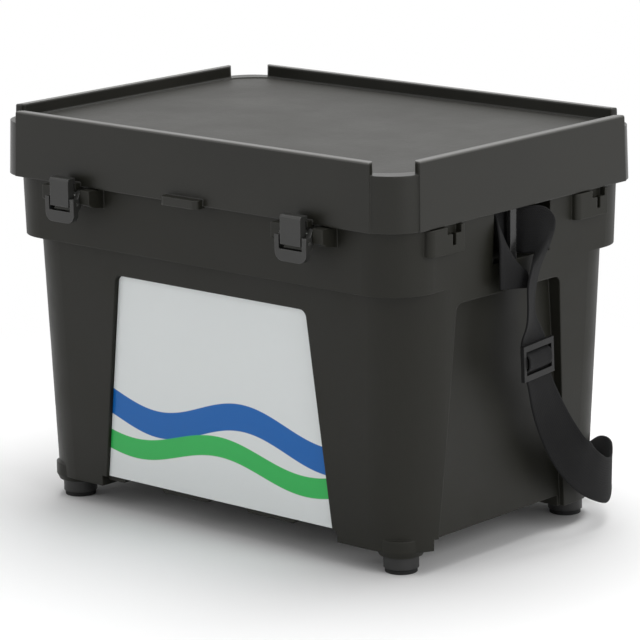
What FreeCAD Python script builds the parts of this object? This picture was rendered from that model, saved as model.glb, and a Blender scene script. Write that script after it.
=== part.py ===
"""Fishing seat box: a moulded tub on four feet, a hinged seat lid, two draw latches and a shoulder strap.

Millimetres. X runs along the front, the front faces -Y, Z is up and the feet stand on Z = 0.
"""
import FreeCAD, Part
import math
import os
import Sketcher
from FreeCAD import Placement, Rotation, Vector

doc = FreeCAD.newDocument("seat_box")

# Driving dimensions: name, size in millimetres or degrees, and what it is.
DIMENSIONS = [
    ("lid_half_x", 230.5, "half length of the lid's corners at the skirt's lower edge"),
    ("lid_half_y", 166.8, "half depth of the lid's corners at the skirt's lower edge"),
    ("lid_corner", 35.0, "radius of the lid's corners"),
    ("lid_draft", 1.45, "slope of the skirt, which spreads downwards"),
    ("lid_wall", 2.6, "thickness of the skirt"),
    ("side_proud", 0.8, "how far the lid's four sides stand out from its corners"),
    ("skirt_low", 296.3, "height of the skirt's lower edge"),
    ("corner_top", 342.8, "height of the lid's cut down corners"),
    ("rail_top", 353.3, "height of the rails round the seat"),
    ("plate_low", 339.3, "underside of the seat plate"),
    ("seat_top", 341.8, "height of the seat's surface"),
    ("rail_inner_x", 222.0, "inner side of the side rails, from the middle"),
    ("rail_inner_y", 158.4, "inner side of the front and back rails, from the middle"),
    ("rail_end", 5.5, "radius of the rails' inner ends"),
    ("rail_edge", 2.0, "radius of the rails' outer upper edges"),
    ("seat_half_x", 220.0, "half length of the seat's sunk surface"),
    ("seat_half_y", 156.4, "half depth of the seat's sunk surface"),
    ("seat_corner", 40.0, "radius of the seat's corners"),
    ("rail_half_x", 202.3, "half length of the front and back rails"),
    ("rail_half_y", 138.9, "half length of the side rails"),
    ("body_half_x", 225.5, "half length of the tub where band and lower tub meet"),
    ("body_half_y", 141.8, "half depth of the lower tub at its upper end"),
    ("body_draft", 1.75, "slope of the lower tub's walls"),
    ("body_corner", 48.0, "radius of the lower tub's corners"),
    ("band_half_y", 157.1, "half depth of the band at its lower edge"),
    ("band_draft", 1.2, "slope of the band's walls"),
    ("band_corner", 41.0, "radius of the band's corners"),
    ("band_low", 241.3, "height of the band's lower edge"),
    ("rim_step", 299.0, "height of the step where the rim stands back under the lid"),
    ("rim_top", 337.5, "height of the tub's rim"),
    ("leg_low", 20.0, "underside of the legs"),
    ("floor_low", 29.5, "underside of the tub's floor between the legs"),
    ("floor_top", 33.0, "upper side of the tub's floor"),
    ("wall", 3.0, "thickness of the band's wall"),
    ("hold_half_x", 211.5, "half length of the lower storage space"),
    ("hold_half_y", 127.5, "half depth of the lower storage space"),
    ("hold_corner", 36.0, "radius of the lower storage space's corners"),
    ("arch_half_x", 137.0, "half width between the front legs"),
    ("arch_front", 104.0, "front end of the gap between the side legs"),
    ("arch_back", 66.0, "back end of the gap between the side legs"),
    ("label_top", 216.0, "upper edge of the front panel"),
    ("label_half_top", 109.5, "half width of the front panel at its upper edge"),
    ("label_half_low", 131.8, "half width of the front panel at its lower edge"),
    ("label_corner", 7.0, "radius of the front panel's upper corners"),
    ("label_thick", 1.2, "thickness of the label"),
    ("label_plane", 130.4, "distance of the panel's plane from the middle, at the floor"),
    ("label_tilt", 1.23, "lean of the panel's plane"),
    ("side_top", 227.0, "upper edge of the side panels"),
    ("side_front_top", 85.0, "side panel's front end at its upper edge"),
    ("side_front_low", 101.0, "side panel's front end at its lower edge"),
    ("side_back_top", 53.5, "side panel's back end at its upper edge"),
    ("side_back_low", 70.0, "side panel's back end at its lower edge"),
    ("side_corner", 7.0, "radius of the side panels' upper corners"),
    ("side_plane", 214.4, "distance of the side panel's plane from the middle, at the floor"),
    ("side_tilt", 0.45, "lean of the side panel's plane"),
    ("foot_x", 187.4, "feet from the middle, along the front"),
    ("foot_y", 112.6, "feet from the middle, front to back"),
    ("flange_radius", 21.0, "radius of the moulded flange over a foot"),
    ("flange_low", 15.0, "lower side of the flange"),
    ("flange_tip", 18.5, "radius of the flange's lower side"),
    ("peg_radius", 15.0, "radius of a foot"),
    ("spigot_radius", 9.8, "radius of a foot's spigot"),
    ("spigot_top", 26.0, "upper end of the spigot"),
    ("pad_radius", 13.7, "radius of a rubber pad"),
    ("pad_thick", 4.0, "thickness of a rubber pad"),
    ("screw_radius", 2.0, "radius of a foot's screw"),
    ("screw_head", 4.5, "radius of the screw's head"),
    ("head_tall", 4.0, "height of the screw's head"),
    ("screw_top", 31.5, "upper end of the screw"),
    ("slot_y", 97.5, "accessory slots from the middle"),
    ("boss_long", 29.5, "accessory boss, from the slot to its far end"),
    ("boss_short", 13.0, "accessory boss, from the slot to its near end"),
    ("boss_low", 273.0, "lower side of the accessory bosses"),
    ("boss_top", 295.3, "upper side of the accessory bosses"),
    ("boss_face", 233.0, "outer face of the accessory bosses"),
    ("boss_round", 5.0, "radius of a boss's front end"),
    ("slot_bar", 18.0, "width of the slot's cross bar"),
    ("slot_stem", 4.5, "width of the slot's stem"),
    ("slot_neck", 289.0, "height where bar and stem meet"),
    ("slot_low", 279.5, "lower end of the stem"),
    ("slot_depth", 6.0, "depth of the accessory slots"),
    ("pocket_half", 38.0, "half width of the strap pockets"),
    ("pocket_low", 252.0, "lower side of the strap pockets"),
    ("pocket_top", 299.0, "upper side of the strap pockets"),
    ("pocket_back", 211.5, "back wall of the strap pockets, from the middle"),
    ("bar_y", 10.0, "strap bar from the middle, towards the front"),
    ("bar_wide", 8.0, "width of a strap bar"),
    ("bar_thick", 4.0, "thickness of a strap bar"),
    ("bar_face", 225.0, "outer face of the strap bars"),
    ("latch_x", 132.0, "latches from the middle"),
    ("lever_pin_y", 173.5, "lever's pin, from the middle"),
    ("lever_pin_z", 291.0, "height of the lever's pin"),
    ("lever_pin_radius", 1.5, "radius of the lever's pin"),
    ("claw_pin_y", 179.5, "claw's pin, from the middle"),
    ("claw_pin_z", 283.0, "height of the claw's pin"),
    ("claw_pin_radius", 1.25, "radius of the claw's pin"),
    ("latch_front", 184.0, "front of lever and claw"),
    ("lever_back", 178.0, "back of the lever's lower bar"),
    ("lever_half", 16.9, "half width of the lever"),
    ("lever_inner", 12.6, "half width of the lever's window"),
    ("lever_low", 266.5, "lower edge of the lever"),
    ("lever_sill", 276.5, "lower edge of the lever's window"),
    ("lever_corner", 8.0, "radius of the lever's lower corners"),
    ("lever_ear", 3.2, "radius of the lever's ears round its pin"),
    ("arm_top", 287.9, "upper end of the front of the lever's arms"),
    ("claw_half", 10.9, "half width of the claw"),
    ("claw_thick", 3.0, "thickness of the claw's plate"),
    ("claw_low", 280.5, "lower edge of the claw"),
    ("claw_top", 305.0, "upper edge of the claw"),
    ("claw_hook", 4.0, "thickness of the claw's hook"),
    ("claw_round", 2.6, "radius of the claw's upper edge"),
    ("claw_flange", 2.5, "thickness of the claw's flanges"),
    ("claw_back", 177.0, "back of the claw's flanges"),
    ("claw_nose", 175.0, "tip of the claw's hook"),
    ("lug_near", 17.4, "lug's inner side, from the latch's middle"),
    ("lug_far", 28.0, "lug's outer side, from the latch's middle"),
    ("lug_front", 176.3, "front of the latch lugs"),
    ("lug_top", 295.3, "upper side of the latch lugs"),
    ("lug_low", 283.5, "lower side of the latch lugs, at the front"),
    ("lug_slant", 3.0, "how far the lugs' lower front edge slants"),
    ("lug_root", 277.5, "where the lugs' gussets meet the band"),
    ("keeper_half", 9.9, "half width of the lid's latch keepers"),
    ("keeper_front", 174.4, "front of the lid's latch keepers"),
    ("keeper_low", 294.5, "lower side of the latch keepers"),
    ("keeper_top", 300.0, "upper side of the latch keepers"),
    ("tab_half", 21.0, "half width of the lid's lift tab"),
    ("tab_front", 176.5, "front of the lift tab"),
    ("tab_low", 294.5, "lower side of the lift tab"),
    ("tab_top", 302.0, "upper side of the lift tab"),
    ("tab_round", 5.0, "radius of the lift tab's front corners"),
    ("hinge_x", 120.0, "hinges from the middle"),
    ("hinge_y", 177.5, "hinge axis from the middle"),
    ("hinge_z", 303.0, "height of the hinge axis"),
    ("barrel_radius", 6.5, "radius of the hinge knuckles"),
    ("hinge_pin_radius", 2.5, "radius of the hinge pins"),
    ("knuckle_half", 10.0, "half width of the lid's knuckle"),
    ("knuckle_gap", 0.5, "gap between knuckles"),
    ("hinge_half", 30.0, "half width of a hinge"),
    ("running_gap", 0.05, "clearance round a turning pin"),
    ("fixed_gap", 0.02, "clearance round a pin that is held fast"),
    ("pin_head", 1.5, "thickness of the hinge pins' heads, and how far they stand out"),
    ("through_cut", 40.0, "depth of cuts that pass right through a wall"),
    ("pocket_cut", 30.0, "depth of the cut for a strap pocket, from its back wall outwards"),
    ("rib_pitch", 99.5, "spacing of the ribs under the floor"),
    ("rib_wide", 59.5, "width of a rib under the floor"),
    ("rib_start", -170.5, "left end of the first rib"),
    ("rib_low", 25.5, "lower side of the ribs"),
    ("rib_slope", 4.0, "how much narrower a rib is at its lower side"),
    ("strap_wide", 40.0, "width of the webbing"),
    ("strap_thick", 1.8, "thickness of the webbing"),
    ("slider_wide", 50.0, "width of the strap's slider buckle"),
    ("slider_tall", 30.0, "height of the slider buckle"),
    ("slider_thick", 3.2, "thickness of the slider buckle"),
    ("slider_slot", 6.0, "height of the slider's two slots"),
    ("slider_bar", 8.0, "height of the slider's middle bar"),
]
sheet = doc.addObject("Spreadsheet::Sheet", "dims")
for row, (name, size, meaning) in enumerate(DIMENSIONS, start=1):
    sheet.set(f"A{row}", name)
    sheet.set(f"B{row}", str(size))
    sheet.set(f"C{row}", meaning)
    sheet.setAlias(f"B{row}", name)
doc.recompute()
SIZE = {name: size for name, size, meaning in DIMENSIONS}
parts = []


def bind(thing, prop, expression):
    """Binds a property to the sheet; a bare name in the expression is a cell's alias."""
    words = []
    for word in expression.split():
        words.append(f"dims.{word}" if word in SIZE else word)
    thing.setExpression(prop, " ".join(words))


def body(label):
    """A new sub-part, whose label is its node's name."""
    new = doc.addObject("PartDesign::Body", label)
    new.Label = label
    parts.append(new)
    return new


def sketch(owner, name, role, height="0", tilt=0.0):
    """A sketch on one of the body's own planes, raised along the plane's normal and tilted about its X."""
    new = owner.newObject("Sketcher::SketchObject", name)
    plane = next(f for f in owner.Origin.OriginFeatures if f.Role == role)
    new.AttachmentSupport = [(plane, "")]
    new.MapMode = "FlatFace"
    new.AttachmentOffset = Placement(Vector(0, 0, 0), Rotation(Vector(1, 0, 0), tilt))
    bind(new, "AttachmentOffset.Base.z", height)
    return new


def polygon(owner, name, role, corners, height="0", tilt=0.0):
    """A closed outline whose corners are pairs of expressions."""
    new = sketch(owner, name, role, height, tilt)
    count = len(corners)
    start = []
    for i in range(count):
        turn = 2 * math.pi * i / count
        start.append(Vector(100 * math.cos(turn), 100 * math.sin(turn), 0))
    for i in range(count):
        new.addGeometry(Part.LineSegment(start[i], start[(i + 1) % count]), False)
    for i in range(count):
        new.addConstraint(Sketcher.Constraint("Coincident", i, 2, (i + 1) % count, 1))
    for i, corner in enumerate(corners):
        for axis, value, expression in zip("XY", start[i], corner):
            at = new.addConstraint(Sketcher.Constraint(f"Distance{axis}", -1, 1, i, 1, value))
            bind(new, f"Constraints[{at}]", expression)
    return new


def rectangle(owner, name, role, low, high, height="0", tilt=0.0):
    """A rectangle from its lowest to its highest corner."""
    corners = [(low[0], low[1]), (high[0], low[1]), (high[0], high[1]), (low[0], high[1])]
    return polygon(owner, name, role, corners, height, tilt)


def block_outline(owner, name, half_x, half_y, height):
    """A rectangle about the middle, at a height."""
    return rectangle(owner, name, "XY_Plane", (f"-1 * ( {half_x} )", f"-1 * ( {half_y} )"),
                     (half_x, half_y), height)


def rounded_outline(owner, name, half_x, half_y, radius, height):
    """A rectangle with round corners about the middle, at a height."""
    new = sketch(owner, name, "XY_Plane", height)
    half, curve = 100.0, 20.0
    flat = half - curve
    lines = [((-flat, -half), (flat, -half)), ((half, -flat), (half, flat)),
             ((flat, half), (-flat, half)), ((-half, flat), (-half, -flat))]
    for first, last in lines:
        new.addGeometry(Part.LineSegment(Vector(*first, 0), Vector(*last, 0)), False)
    for i, (x, y) in enumerate(((flat, -flat), (flat, flat), (-flat, flat), (-flat, -flat))):
        circle = Part.Circle(Vector(x, y, 0), Vector(0, 0, 1), curve)
        start = (i - 1) * math.pi / 2
        new.addGeometry(Part.ArcOfCircle(circle, start, start + math.pi / 2), False)
    for i in range(4):
        new.addConstraint(Sketcher.Constraint("Tangent", i, 2, 4 + i, 1))
        new.addConstraint(Sketcher.Constraint("Tangent", 4 + i, 2, (i + 1) % 4, 1))
        new.addConstraint(Sketcher.Constraint(("Horizontal", "Vertical")[i % 2], i))
    for i in range(1, 4):
        new.addConstraint(Sketcher.Constraint("Equal", 4, 4 + i))
    at = new.addConstraint(Sketcher.Constraint("Radius", 4, curve))
    bind(new, f"Constraints[{at}]", radius)
    for line, axis, value, expression in ((0, "Y", -half, f"-1 * ( {half_y} )"), (1, "X", half, half_x),
                                          (2, "Y", half, half_y), (3, "X", -half, f"-1 * ( {half_x} )")):
        at = new.addConstraint(Sketcher.Constraint(f"Distance{axis}", -1, 1, line, 1, value))
        bind(new, f"Constraints[{at}]", expression)
    return new


def discs(owner, name, role, centres, radius, height="0"):
    """One circle for each centre."""
    new = sketch(owner, name, role, height)
    for number, centre in enumerate(centres):
        new.addGeometry(Part.Circle(Vector(50 + 60 * number, 50, 0), Vector(0, 0, 1), 20), False)
        at = new.addConstraint(Sketcher.Constraint("DistanceX", -1, 1, number, 3, 50 + 60 * number))
        bind(new, f"Constraints[{at}]", centre[0])
        at = new.addConstraint(Sketcher.Constraint("DistanceY", -1, 1, number, 3, 50))
        bind(new, f"Constraints[{at}]", centre[1])
        at = new.addConstraint(Sketcher.Constraint("Radius", number, 20))
        bind(new, f"Constraints[{at}]", radius)
    return new


def require_sound(feature):
    """Stops where a feature failed, because the document itself goes on."""
    if "Invalid" in feature.State or "Error" in feature.State or feature.Shape.isNull():
        raise ValueError(f"{feature.Name} failed: {feature.State} {feature.getStatusString()}")


def shape_feature(kind, owner, outline, length, back=False, draft=None):
    """A Pad or Pocket of an outline, which has to change the body's volume."""
    doc.recompute()
    before = owner.Shape.Volume if owner.Tip else 0.0
    new = owner.newObject(f"PartDesign::{kind}", f"{outline.Name}_{kind.lower()}")
    new.Profile = outline
    new.Reversed = back
    new.Refine = False
    bind(new, "Length", length)
    if draft:
        bind(new, "TaperAngle", draft)
    outline.Visibility = False
    doc.recompute()
    require_sound(new)
    gain = owner.Shape.Volume - before
    if (gain <= 1e-3) if kind == "Pad" else (gain >= -1e-3):
        raise ValueError(f"{new.Name} doesn't change {owner.Label}: {gain:.3f}")
    return new


def pad(owner, outline, length, back=False, draft=None):
    return shape_feature("Pad", owner, outline, length, back, draft)


def pocket(owner, outline, length, back=False, draft=None):
    return shape_feature("Pocket", owner, outline, length, back, draft)


def rounded(owner, name, chosen, radius):
    """A fillet on the edges that a test chooses."""
    doc.recompute()
    base = owner.Tip
    edges = [f"Edge{i}" for i, edge in enumerate(base.Shape.Edges, start=1) if chosen(edge)]
    if not edges:
        raise ValueError(f"{name} finds no edges")
    new = owner.newObject("PartDesign::Fillet", name)
    new.Base = (base, edges)
    bind(new, "Radius", radius)
    doc.recompute()
    require_sound(new)
    return new


def upright(low, high):
    """Chooses near-vertical edges that start and end at the given heights."""
    def test(edge):
        ends = sorted(v.Point.z for v in edge.Vertexes)
        return len(ends) == 2 and abs(ends[0] - low) < 0.1 and abs(ends[1] - high) < 0.1
    return test


def mirrored(owner, name, features, role="YZ_Plane"):
    """The same features on the other side of one of the body's planes."""
    doc.recompute()
    before = owner.Shape.Volume
    new = owner.newObject("PartDesign::Mirrored", name)
    new.Originals = features
    new.MirrorPlane = (next(f for f in owner.Origin.OriginFeatures if f.Role == role), [""])
    new.Refine = False
    owner.Tip = new
    doc.recompute()
    require_sound(new)
    if abs(owner.Shape.Volume - before) < 1e-3:
        raise ValueError(f"{name} doesn't change {owner.Label}")
    return new


def make_tub():
    """The tub: drafted walls, a band round its top, four legs, panels sunk into its sides, and its lugs."""
    tub = body("box_body")
    lower = block_outline(tub, "lower_walls", "body_half_x", "body_half_y", "band_low")
    pad(tub, lower, "band_low - leg_low", back=True, draft="-1 * body_draft")
    rounded(tub, "leg_corners", upright(SIZE["leg_low"], SIZE["band_low"]), "body_corner")
    band = block_outline(tub, "band_walls", "body_half_x", "band_half_y", "band_low")
    pad(tub, band, "rim_step - band_low", draft="band_draft")
    rounded(tub, "band_corners", upright(SIZE["band_low"], SIZE["rim_step"]), "band_corner")
    rim = rounded_outline(tub, "rim", "body_half_x", "band_half_y", "band_corner", "rim_step")
    pad(tub, rim, "rim_top - rim_step")

    # The gaps between the legs, front to back and side to side.
    arch = block_outline(tub, "front_arch", "arch_half_x", "lid_half_y", "leg_low - 1")
    pocket(tub, arch, "floor_low - leg_low + 1", back=True)
    arch = rectangle(tub, "side_arch", "XY_Plane", ("-1 * lid_half_x", "-1 * arch_front"),
                     ("lid_half_x", "arch_back"), "leg_low - 1")
    pocket(tub, arch, "floor_low - leg_low + 1", back=True)

    # The front and back panels and the side panels, sunk between the legs on leaning planes.
    sunk = pocket(tub, panel_outline(tub, "front_panel", "0"), "through_cut", back=True)
    mirrored(tub, "back_panel", [sunk], "XZ_Plane")
    rounded(tub, "panel_corners", panel_corner, "label_corner")
    sunk = pocket(tub, side_outline(tub, "side_panel"), "through_cut", back=True)
    mirrored(tub, "left_side_panel", [sunk])
    rounded(tub, "side_corners", side_corner, "side_corner")

    # The storage space: wide in the band, narrower between the panels.
    hold = rounded_outline(tub, "upper_hold", "body_half_x - wall", "band_half_y - wall",
                           "band_corner - wall", "rim_top")
    pocket(tub, hold, "rim_top - band_low - 4")
    hold = rounded_outline(tub, "lower_hold", "hold_half_x", "hold_half_y", "hold_corner", "band_low + 5")
    pocket(tub, hold, "band_low + 5 - floor_top")

    add_ribs(tub)
    add_foot_sockets(tub)
    pairs = add_strap_pocket(tub)
    for end in (1, -1):
        pairs += add_slot_boss(tub, end)
    pairs += add_latch_lugs(tub)
    pairs += add_hinge_knuckles(tub)
    mirrored(tub, "left_fittings", pairs)
    rounded(tub, "boss_ends", boss_end, "boss_round")
    return tub


def panel_outline(owner, name, inset):
    """The front panel's outline, narrower at its top, on a plane that leans with the wall."""
    low = f"floor_low - 15 + {inset}"
    high = f"label_top - {inset}"
    slope = "( label_half_low - label_half_top ) / ( label_top - floor_low )"
    foot = f"label_half_low + 15 * {slope} - {inset}"
    head = f"label_half_top - {inset}"
    corners = [(f"-1 * ( {foot} )", low), (foot, low), (head, high), (f"-1 * ( {head} )", high)]
    return polygon(owner, name, "XZ_Plane", corners, "label_plane", SIZE["label_tilt"])


def panel_corner(edge):
    """Chooses the short edges through the wall at the upper corners of the front and back panels."""
    middle = edge.CenterOfMass
    near = abs(abs(middle.x) - SIZE["label_half_top"]) < 1.5 and abs(middle.z - SIZE["label_top"]) < 1
    return near and abs(middle.y) > SIZE["label_plane"] and edge.Length < 12


def side_outline(owner, name):
    """A side panel's outline, with its front end nearer the corner than its back end."""
    low = "floor_low - 15"
    corners = [("-1 * side_front_low", low), ("side_back_low", low), ("side_back_top", "side_top"),
               ("-1 * side_front_top", "side_top")]
    return polygon(owner, name, "YZ_Plane", corners, "side_plane", -SIZE["side_tilt"])


def side_corner(edge):
    """Chooses the short edges through the wall at the upper corners of the side panels."""
    middle = edge.CenterOfMass
    ends = (-SIZE["side_front_top"], SIZE["side_back_top"])
    near = min(abs(middle.y - end) for end in ends) < 1 and abs(middle.z - SIZE["side_top"]) < 1
    return near and abs(middle.x) > SIZE["side_plane"] and edge.Length < 14


def add_ribs(tub):
    """The ribs that stiffen the floor show as low teeth along the front's lower edge."""
    for number in range(4):
        left = f"max( rib_start + {number} * rib_pitch ; -1 * arch_half_x )"
        right = f"min( rib_start + {number} * rib_pitch + rib_wide ; arch_half_x )"
        low, high = "rib_low", "floor_low + 0.5"
        corners = [(left + " + rib_slope", low), (right + " - rib_slope", low), (right, high), (left, high)]
        rib = polygon(tub, f"rib_{number}", "XZ_Plane", corners, "label_plane")
        pad(tub, rib, "2 * label_plane", back=True)


FEET = [(x, y) for x in (1, -1) for y in (1, -1)]


def foot_centres():
    return [(f"{x} * foot_x", f"{y} * foot_y") for x, y in FEET]


def add_foot_sockets(tub):
    """Under each leg: a conical flange, the socket for the foot's spigot and the screw's pilot hole."""
    neck = discs(tub, "foot_necks", "XY_Plane", foot_centres(), "flange_radius", "leg_low")
    pad(tub, neck, "floor_low + 1 - leg_low")
    slope = math.degrees(math.atan2(SIZE["flange_radius"] - SIZE["flange_tip"],
                                    SIZE["leg_low"] - SIZE["flange_low"]))
    cone = discs(tub, "foot_flanges", "XY_Plane", foot_centres(), "flange_radius", "leg_low")
    pad(tub, cone, "leg_low - flange_low", back=True, draft=f"-1 * {slope:.4f}")
    socket = discs(tub, "foot_sockets", "XY_Plane", foot_centres(), "spigot_radius + 0.15", "flange_low - 1")
    pocket(tub, socket, "spigot_top + 0.3 - flange_low + 1", back=True)
    pilot = discs(tub, "foot_pilots", "XY_Plane", foot_centres(), "screw_radius + fixed_gap", "spigot_top")
    pocket(tub, pilot, "screw_top + 0.3 - spigot_top", back=True)


def add_strap_pocket(tub):
    """A pocket in the band's side, where the webbing goes round an upright bar."""
    block = rectangle(tub, "pocket_block", "XY_Plane", ("pocket_back - wall", "-1 * ( pocket_half + wall )"),
                      ("body_half_x", "pocket_half + wall"), "pocket_low - wall")
    hollow = rectangle(tub, "pocket_hollow", "YZ_Plane", ("-1 * pocket_half", "pocket_low"),
                       ("pocket_half", "pocket_top"), "pocket_back")
    made = pad(tub, block, "pocket_top - pocket_low + 2 * wall")
    return [made, pocket(tub, hollow, "pocket_cut", back=True)]


def add_slot_boss(tub, end):
    """A boss on the band with a T-shaped slot, which accessories hang in."""
    name = "back" if end > 0 else "front"
    middle = f"{end} * slot_y"
    boss = rectangle(tub, f"{name}_boss", "YZ_Plane", (f"{middle} - boss_long", "boss_low"),
                     (f"{middle} + boss_short", "boss_top"), "boss_face")
    bar, stem = "slot_bar / 2", "slot_stem / 2"
    corners = [(f"{middle} - {bar}", "slot_neck"), (f"{middle} - {stem}", "slot_neck"),
               (f"{middle} - {stem}", "slot_low"), (f"{middle} + {stem}", "slot_low"),
               (f"{middle} + {stem}", "slot_neck"), (f"{middle} + {bar}", "slot_neck"),
               (f"{middle} + {bar}", "boss_top + 1"), (f"{middle} - {bar}", "boss_top + 1")]
    slot = polygon(tub, f"{name}_slot", "YZ_Plane", corners, "boss_face + 1")
    return [pad(tub, boss, "boss_face - body_half_x + 2", back=True), pocket(tub, slot, "slot_depth + 1")]


def boss_end(edge):
    """Chooses the upright outer edge at the front end of each boss."""
    middle = edge.CenterOfMass
    ends = [place * SIZE["slot_y"] - SIZE["boss_long"] for place in (1, -1)]
    near = min(abs(middle.y - end) for end in ends) < 0.1
    return near and abs(abs(middle.x) - SIZE["boss_face"]) < 0.1 and edge.Length > 15


def add_latch_lugs(tub):
    """Two gusseted lugs on the band carry a latch lever's pin."""
    corners = [("-1 * ( band_half_y - 1 )", "lug_top"), ("-1 * lug_front", "lug_top"),
               ("-1 * lug_front", "lug_low"), ("-1 * ( lug_front - 5 )", "lug_low - lug_slant"),
               ("-1 * ( band_half_y - 1 )", "lug_root")]
    made = []
    for place, start in (("outer", "lug_near"), ("inner", "-1 * lug_far")):
        lug = polygon(tub, f"{place}_lug", "YZ_Plane", corners, f"latch_x + {start}")
        made.append(pad(tub, lug, "lug_far - lug_near"))
    bore = discs(tub, "lug_bore", "YZ_Plane", [("-1 * lever_pin_y", "lever_pin_z")],
                 "lever_pin_radius + fixed_gap", "latch_x - lug_far + 1.5")
    made.append(pocket(tub, bore, "2 * lug_far - 3", back=True))
    return made


def knuckle(owner, name, arm, start, length):
    """A hinge knuckle: a barrel round the hinge axis and the arm that joins it to its wall."""
    web = polygon(owner, f"{name}_arm", "YZ_Plane", arm, start)
    barrel = discs(owner, f"{name}_barrel", "YZ_Plane", [("hinge_y", "hinge_z")], "barrel_radius", start)
    return [pad(owner, web, length), pad(owner, barrel, length)]


def add_hinge_knuckles(tub):
    """The tub's two knuckles of a hinge, on arms that pass under the skirt."""
    arm = [("band_half_y - 1", "skirt_low - 24"), ("band_half_y - 1", "skirt_low - 1"),
           ("hinge_y - barrel_radius + 0.4", "skirt_low - 1"),
           ("hinge_y - barrel_radius + 0.4", "hinge_z"), ("hinge_y + barrel_radius - 0.4", "hinge_z"),
           ("hinge_y + barrel_radius - 3", "skirt_low - 10")]
    length = "hinge_half - knuckle_half - knuckle_gap"
    made = knuckle(tub, "outer_knuckle", arm, "hinge_x + knuckle_half + knuckle_gap", length)
    made += knuckle(tub, "inner_knuckle", arm, "hinge_x - hinge_half", length)
    bore = discs(tub, "hinge_bore", "YZ_Plane", [("hinge_y", "hinge_z")],
                 "hinge_pin_radius + fixed_gap", "hinge_x - hinge_half - 1")
    made.append(pocket(tub, bore, "2 * hinge_half + 2", back=True))
    return made


def make_lid():
    """The lid: a seat plate with a deep skirt, four rails, keepers for the latches and hinge knuckles."""
    lid = body("lid")
    draft = "-1 * lid_draft"
    core = block_outline(lid, "lid_corners", "lid_half_x", "lid_half_y", "skirt_low")
    pad(lid, core, "corner_top - skirt_low", draft=draft)
    rounded(lid, "corner_rounds", upright(SIZE["skirt_low"], SIZE["corner_top"]), "lid_corner")
    for name, half_x, half_y in (("long", "rail_half_x", "lid_half_y + side_proud"),
                                 ("cross", "lid_half_x + side_proud", "rail_half_y")):
        slab = block_outline(lid, f"{name}_sides", half_x, half_y, "skirt_low")
        pad(lid, slab, "rail_top - skirt_low", draft=draft)

    # Between the rails the lid is level with its corners, and the seat's surface is sunk into that.
    between = block_outline(lid, "between_rails", "rail_inner_x", "rail_inner_y", "rail_top")
    pocket(lid, between, "rail_top - corner_top").Refine = True
    rounded(lid, "rail_ends", rail_inner_end, "rail_end")
    rounded(lid, "rail_edges", rail_outer_edge, "rail_edge")
    seat = rounded_outline(lid, "seat", "seat_half_x", "seat_half_y", "seat_corner", "corner_top")
    pocket(lid, seat, "corner_top - seat_top")
    hollow = rounded_outline(lid, "underside", "lid_half_x - lid_wall", "lid_half_y - lid_wall",
                             "lid_corner - lid_wall", "skirt_low")
    pocket(lid, hollow, "plate_low - skirt_low", back=True, draft=draft)

    tab = rectangle(lid, "lift_tab", "XY_Plane", ("-1 * tab_half", "-1 * tab_front"),
                    ("tab_half", "-1 * ( lid_half_y - 1 )"), "tab_low")
    pad(lid, tab, "tab_top - tab_low")
    rounded(lid, "lift_tab_ends", lift_tab_edges, "tab_round")
    keeper = rectangle(lid, "keeper", "XY_Plane", ("latch_x - keeper_half", "-1 * keeper_front"),
                       ("latch_x + keeper_half", "-1 * ( lid_half_y - 1 )"), "keeper_low")
    pairs = [pad(lid, keeper, "keeper_top - keeper_low")]
    arm = [("lid_half_y - 1", "skirt_low + 1"), ("hinge_y", "hinge_z - barrel_radius"),
           ("hinge_y", "hinge_z + barrel_radius"), ("lid_half_y - 1", "hinge_z + 14")]
    pairs += knuckle(lid, "lid_knuckle", arm, "hinge_x - knuckle_half", "2 * knuckle_half")
    bore = discs(lid, "lid_bore", "YZ_Plane", [("hinge_y", "hinge_z")],
                 "hinge_pin_radius + running_gap", "hinge_x - knuckle_half - 1")
    pairs.append(pocket(lid, bore, "2 * knuckle_half + 2", back=True))
    mirrored(lid, "left_lid_fittings", pairs)
    return lid


def rail_inner_end(edge):
    """Chooses the upright edges at the inner ends of the rails."""
    middle = edge.CenterOfMass
    inside = abs(middle.x) < SIZE["rail_inner_x"] + 0.1 and abs(middle.y) < SIZE["rail_inner_y"] + 0.1
    return inside and upright(SIZE["corner_top"], SIZE["rail_top"])(edge)


def rail_outer_edge(edge):
    """Chooses the rails' long outer upper edges."""
    middle = edge.CenterOfMass
    outside = abs(middle.x) > SIZE["lid_half_x"] - 3 or abs(middle.y) > SIZE["lid_half_y"] - 3
    return outside and abs(middle.z - SIZE["rail_top"]) < 0.1 and edge.Length > 100


def lift_tab_edges(edge):
    """Chooses the lift tab's two upright front edges."""
    middle = edge.CenterOfMass
    return (abs(abs(middle.x) - SIZE["tab_half"]) < 0.1 and abs(middle.y + SIZE["tab_front"]) < 0.1
            and abs(middle.z - (SIZE["tab_low"] + SIZE["tab_top"]) / 2) < 0.1)


def make_label():
    """The white plate in the front panel."""
    label = body("front_label")
    outline = panel_outline(label, "label_outline", "0.5")
    pad(label, outline, "label_thick")
    trim = rectangle(label, "label_trim", "XZ_Plane", ("-1 * lid_half_x", "0"),
                     ("lid_half_x", "floor_low + 0.4"), "label_plane + through_cut / 2")
    pocket(label, trim, "through_cut")
    rounded(label, "label_corners", label_corner_edges, "label_corner")
    return label


def label_corner_edges(edge):
    """Chooses the label's two upper corners."""
    middle = edge.CenterOfMass
    near = abs(abs(middle.x) - SIZE["label_half_top"] + 0.5) < 1.5
    return near and abs(middle.z - SIZE["label_top"] + 0.5) < 1 and edge.Length < 3


SIDES = ((1, "right"), (-1, "left"))


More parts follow.
